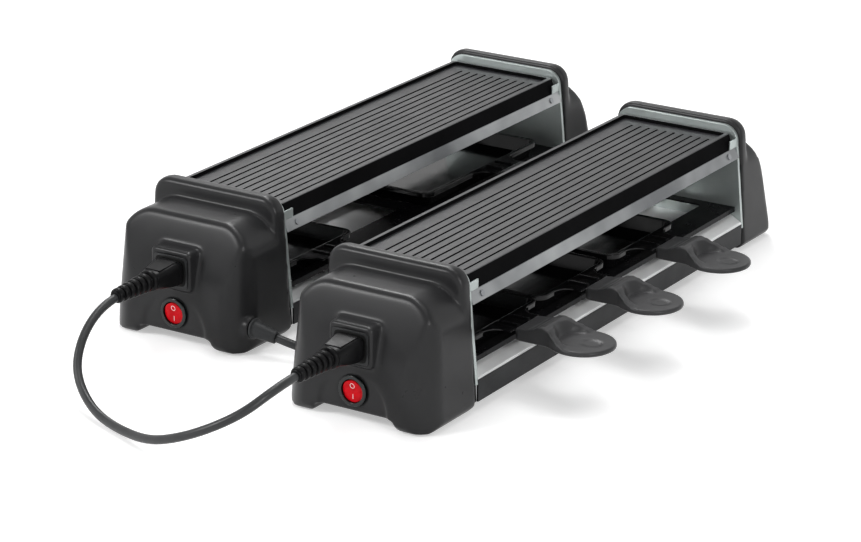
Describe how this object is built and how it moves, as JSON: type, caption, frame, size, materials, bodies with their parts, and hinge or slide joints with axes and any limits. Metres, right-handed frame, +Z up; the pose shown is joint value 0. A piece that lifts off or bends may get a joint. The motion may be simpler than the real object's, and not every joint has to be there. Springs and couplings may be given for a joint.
{
  "type": "raclette grill",
  "caption": "Table raclette grill of two narrow linked units, each with a ribbed grill plate on top and small pans that slide out below it on one side.",
  "frame": {"origin": "bottom centre of both units together, on the table, measured without the leads", "axes": "+X towards the pan handles, +Y from the control housings to the far housings, +Z up"},
  "size_m": [0.3974, 0.8383, 0.108],
  "materials": {
    "housing_plastic": "satin charcoal moulding",
    "plate_steel": "bright sheet, faintly green",
    "rail_aluminium": "satin extrusion",
    "screw_steel": "plain steel",
    "element_steel": "heat-darkened tube",
    "strap_steel": "plain sheet",
    "grill_cast": "coated casting, grey non-stick",
    "shelf_paint": "black, semi-matt",
    "reflector": "bright reflector sheet",
    "base_paint": "dark grey",
    "cover_plastic": "black moulding",
    "pan_coating": "dark non-stick",
    "grip_plastic": "fine-grained dark grey",
    "socket_plastic": "black moulding",
    "pin_brass": "plain brass",
    "bezel_plastic": "black gloss",
    "rocker_plastic": "red, lit from inside when on",
    "terminal_plastic": "white moulding",
    "foot_rubber": "soft black",
    "lead_rubber": "dark grey round lead",
    "connector_rubber": "glossy black moulding",
    "tie_plastic": "black band"
  },
  "bodies": {
    "frame_and_housings": {"front_control_housing": "housing_plastic", "front_far_housing": "housing_plastic", "front_near_end_plate": "plate_steel", "front_far_end_plate": "plate_steel", "front_control_base_cover": "cover_plastic", "front_far_base_cover": "cover_plastic", "front_case_screws": "screw_steel", "front_side_rails": "rail_aluminium", "front_rail_screws": "screw_steel", "front_heating_element": "element_steel", "front_element_straps": "strap_steel", "front_pan_shelf": "shelf_paint", "front_reflector_tray": "reflector", "front_base_channel": "base_paint", "front_switch_bezel": "bezel_plastic", "front_terminal_block": "terminal_plastic", "front_rubber_feet": "foot_rubber", "rear_control_housing": "housing_plastic", "rear_far_housing": "housing_plastic", "rear_near_end_plate": "plate_steel", "rear_far_end_plate": "plate_steel", "rear_control_base_cover": "cover_plastic", "rear_far_base_cover": "cover_plastic", "rear_case_screws": "screw_steel", "rear_side_rails": "rail_aluminium", "rear_rail_screws": "screw_steel", "rear_heating_element": "element_steel", "rear_element_straps": "strap_steel", "rear_pan_shelf": "shelf_paint", "rear_reflector_tray": "reflector", "rear_base_channel": "base_paint", "rear_switch_bezel": "bezel_plastic", "rear_terminal_block": "terminal_plastic", "rear_rubber_feet": "foot_rubber", "front_inlet": "socket_plastic", "front_inlet_pins": "pin_brass", "rear_outlet": "socket_plastic", "link_connector": "connector_rubber", "link_plug": "connector_rubber", "link_lead": "lead_rubber", "mains_strain_relief": "connector_rubber", "mains_lead": "lead_rubber", "mains_lead_coil": "lead_rubber", "mains_lead_tail": "lead_rubber", "coil_tie": "tie_plastic", "mains_plug": "connector_rubber"},
    "front_pan_1_assembly": {"front_pan_1": "pan_coating", "front_pan_grip_1": "grip_plastic"},
    "front_pan_2_assembly": {"front_pan_2": "pan_coating", "front_pan_grip_2": "grip_plastic"},
    "front_pan_3_assembly": {"front_pan_3": "pan_coating", "front_pan_grip_3": "grip_plastic"},
    "rear_pan_1_assembly": {"rear_pan_1": "pan_coating", "rear_pan_grip_1": "grip_plastic"},
    "rear_pan_2_assembly": {"rear_pan_2": "pan_coating", "rear_pan_grip_2": "grip_plastic"},
    "front_plate": {"front_grill_plate": "grill_cast"},
    "front_rocker": {"front_switch_rocker": "rocker_plastic"},
    "rear_plate": {"rear_grill_plate": "grill_cast"},
    "rear_rocker": {"rear_switch_rocker": "rocker_plastic"}
  },
  "joints": [
    {"name": "front_pan_1_slide", "type": "slide", "parent": "frame_and_housings", "child": "front_pan_1_assembly", "axis": [1, 0, 0], "range_m": [0, 0.09]},
    {"name": "front_pan_2_slide", "type": "slide", "parent": "frame_and_housings", "child": "front_pan_2_assembly", "axis": [1, 0, 0], "range_m": [0, 0.09]},
    {"name": "front_pan_3_slide", "type": "slide", "parent": "frame_and_housings", "child": "front_pan_3_assembly", "axis": [1, 0, 0], "range_m": [0, 0.09]},
    {"name": "rear_pan_1_slide", "type": "slide", "parent": "frame_and_housings", "child": "rear_pan_1_assembly", "axis": [1, 0, 0], "range_m": [0, 0.01]},
    {"name": "rear_pan_2_slide", "type": "slide", "parent": "frame_and_housings", "child": "rear_pan_2_assembly", "axis": [1, 0, 0], "range_m": [0, 0.08]},
    {"name": "front_plate_lift", "type": "slide", "parent": "frame_and_housings", "child": "front_plate", "axis": [0, 0, 1], "range_m": [0, 0.12]},
    {"name": "front_switch", "type": "hinge", "parent": "frame_and_housings", "child": "front_rocker", "pos_m": [0.0607, -0.29045, 0.0245], "axis": [1, 0, 0], "range_deg": [-14, 0]},
    {"name": "rear_plate_lift", "type": "slide", "parent": "frame_and_housings", "child": "rear_plate", "axis": [0, 0, 1], "range_m": [0, 0.12]},
    {"name": "rear_switch", "type": "hinge", "parent": "frame_and_housings", "child": "rear_rocker", "pos_m": [-0.1361, -0.23305, 0.0245], "axis": [1, 0, 0], "range_deg": [-14, 0]}
  ]
}
